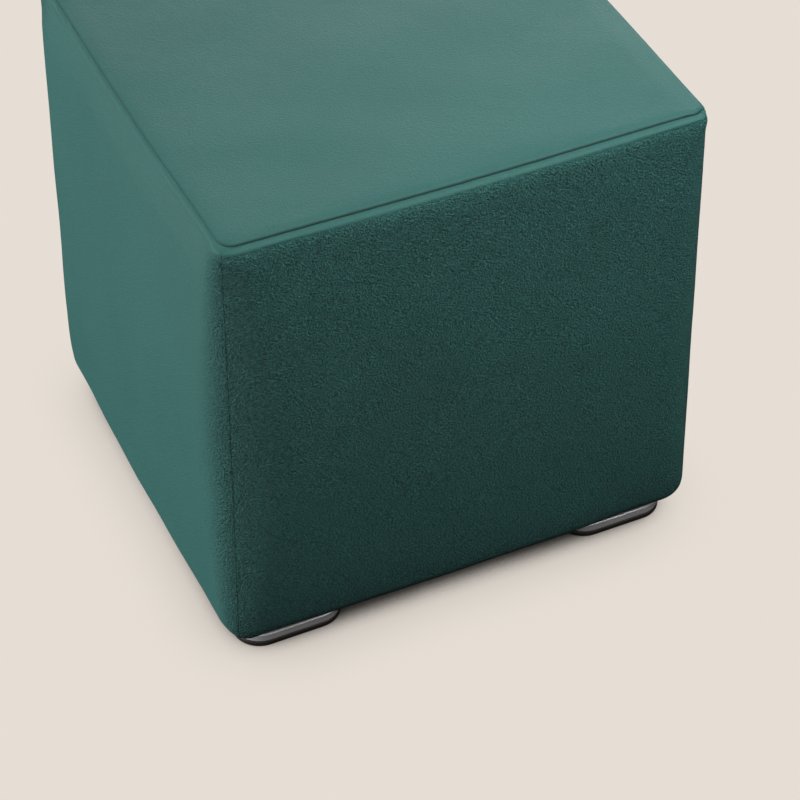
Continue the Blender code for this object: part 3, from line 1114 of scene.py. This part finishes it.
# %% [markdown]
# ### The moulding
#
# The moulding starts as its rounded square footprint. The footprint is raised again and again, and
# after each rise its outline is drawn in or let out a little. That gives the rounded rim, the ledge
# for the band and the neck up to the body.

# %% Moulding tree
NECK_INSET = BAND_WALL + GAP
MOULDING_ROWS = (        # height, inset from the foot's outline
    (0.0, 0.0009), (0.0002, 0.0004), (0.0006, 0.0001), (0.0011, 0.0), (0.0028, 0.0),
    (0.0045, 0.0), (0.0050, 0.0002), (0.0053, 0.0005), (GLIDE_HEIGHT, 0.0010),
    (GLIDE_HEIGHT, NECK_INSET - 0.0004), (GLIDE_HEIGHT + 0.0001, NECK_INSET),
    (GLIDE_HEIGHT + 0.0006, NECK_INSET), (0.0150, NECK_INSET), (BASE - GAP, NECK_INSET),
)


def make_moulding_tree():
    tree, given = new_tree("foot moulding", (
        ("Place", "Vector"), ("Size", "Float"), ("Corner", "Float"), ("Finish", "Material"),
    ))
    height, inset = MOULDING_ROWS[0]
    width = add_math(tree, "SUBTRACT", given["Size"], 2 * inset)
    radius = add_math(tree, "SUBTRACT", given["Corner"], inset)
    outline = rounded_rectangle(tree, width, width, radius, CORNER_SEGMENTS)
    footprint = add_step(tree, "GeometryNodeFillCurve", {"Curve": outline}, mode="NGONS")
    underside = add_step(tree, "GeometryNodeFlipFaces", {"Mesh": footprint})
    half = add_math(tree, "DIVIDE", given["Size"], 2.0)
    straight = add_math(tree, "SUBTRACT", half, given["Corner"])
    place = add_step(tree, "GeometryNodeInputPosition", {})
    level = add_vector_math(tree, "MULTIPLY", place, (1, 1, 0))
    past = add_vector_math(tree, "SUBTRACT", add_vector_math(tree, "ABSOLUTE", level), straight)
    past = add_vector_math(tree, "MAXIMUM", past)
    past = add_vector_math(tree, "MULTIPLY", past, add_vector_math(tree, "SIGN", level))
    past = add_vector_math(tree, "MULTIPLY", past, (1, 1, 0))
    outwards = add_vector_math(tree, "NORMALIZE", past)
    upwards = add_step(tree, "ShaderNodeCombineXYZ", {"Z": 1.0})
    body = footprint
    top = True
    for next_height, next_inset in MOULDING_ROWS[1:]:
        top = add_step(tree, "GeometryNodeExtrudeMesh", {
            "Mesh": body, "Selection": top, "Offset": upwards,
            "Offset Scale": next_height - height, "Individual": False,
        }, output=1, mode="FACES")
        body = add_step(tree, "GeometryNodeSetPosition", {
            "Geometry": top.node.outputs["Mesh"], "Selection": top,
            "Offset": scaled(tree, outwards, inset - next_inset),
        })
        height, inset = next_height, next_inset
    joined = tree.nodes.new("GeometryNodeJoinGeometry")
    tree.links.new(body, joined.inputs["Geometry"])
    tree.links.new(underside, joined.inputs["Geometry"])
    inputs = {"Geometry": joined.outputs[0], "Distance": 0.00001}
    closed = add_step(tree, "GeometryNodeMergeByDistance", inputs)
    finish_tree(tree, closed, given["Place"], given["Finish"])
    return tree


# %% [markdown]
# ### Finishes of the feet
#
# The band is satin metal, drawn through a die, so fine lines run along it and its tone drifts a
# little. Only half of its shader is metal: its diffuse grey is a painted reflection of the shaded
# floor. The moulding is a brown-black plastic with a fine moulded grain and a low sheen.

# %% Satin metal
METAL_AND_REFLECTION_DARK = (0.68, 0.665, 0.67, 1)
METAL_AND_REFLECTION_LIGHT = (0.80, 0.785, 0.79, 1)

satin_metal, tree, shader = new_material("satin_metal")
place = object_place(tree)
stretched = add_step(tree, "ShaderNodeMapping", {"Vector": place, "Scale": (0.06, 0.06, 1)})
lines = add_noise(tree, stretched, 2600, detail=3, roughness=0.6)
tones = add_tones(tree, add_noise(tree, place, 60, detail=2), METAL_AND_REFLECTION_DARK, METAL_AND_REFLECTION_LIGHT)
inputs = {"Value": lines, "To Min": 0.30, "To Max": 0.46}
satin = add_step(tree, "ShaderNodeMapRange", inputs, output="Result")
tree.links.new(tones, shader.inputs["Base Color"])
tree.links.new(satin, shader.inputs["Roughness"])
# Half metal, half painted reflection: the diffuse part of this grey stands in for the reflected
# floor.
shader.inputs["Metallic"].default_value = 0.45
add_bump(tree, shader, lines, 0.00005, 0.35)
print(satin_metal.name, len(tree.nodes), "nodes")

# %% Black moulding
BLACK_DARK = (0.016, 0.012, 0.010, 1)
BLACK_LIGHT = (0.028, 0.022, 0.019, 1)

black_moulding, tree, shader = new_material("black_moulding")
place = object_place(tree)
tones = add_tones(tree, add_noise(tree, place, 45, detail=3), BLACK_DARK, BLACK_LIGHT)
tree.links.new(tones, shader.inputs["Base Color"])
shader.inputs["Roughness"].default_value = 0.55
add_bump(tree, shader, add_noise(tree, place, 1800, detail=2), 0.00006, 0.4)
print(black_moulding.name, len(tree.nodes), "nodes")

# %% Feet
band_tree = make_band_tree()
moulding_tree = make_moulding_tree()
for foot, (foot_x, foot_y) in FOOT_PLACES.items():
    moulding = bake_tree("moulding_" + foot, moulding_tree, {
        "Place": (foot_x, foot_y, 0), "Size": FOOT_SIZE, "Corner": FOOT_CORNER,
        "Finish": black_moulding,
    })
    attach(moulding, "root")
    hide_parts("foot_" + foot)
    band = bake_tree("band_" + foot, band_tree, {
        "Place": (foot_x, foot_y, GLIDE_HEIGHT + GAP + BAND_HEIGHT / 2), "Size": FOOT_SIZE,
        "Corner": FOOT_CORNER, "Wall": BAND_WALL, "Height": BAND_HEIGHT, "Edge": BAND_EDGE,
        "Finish": satin_metal,
    })
    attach(band, "root")
    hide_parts("foot_band_" + foot)
    for piece in (moulding, band):
        print(piece.name, len(piece.data.polygons), "faces")
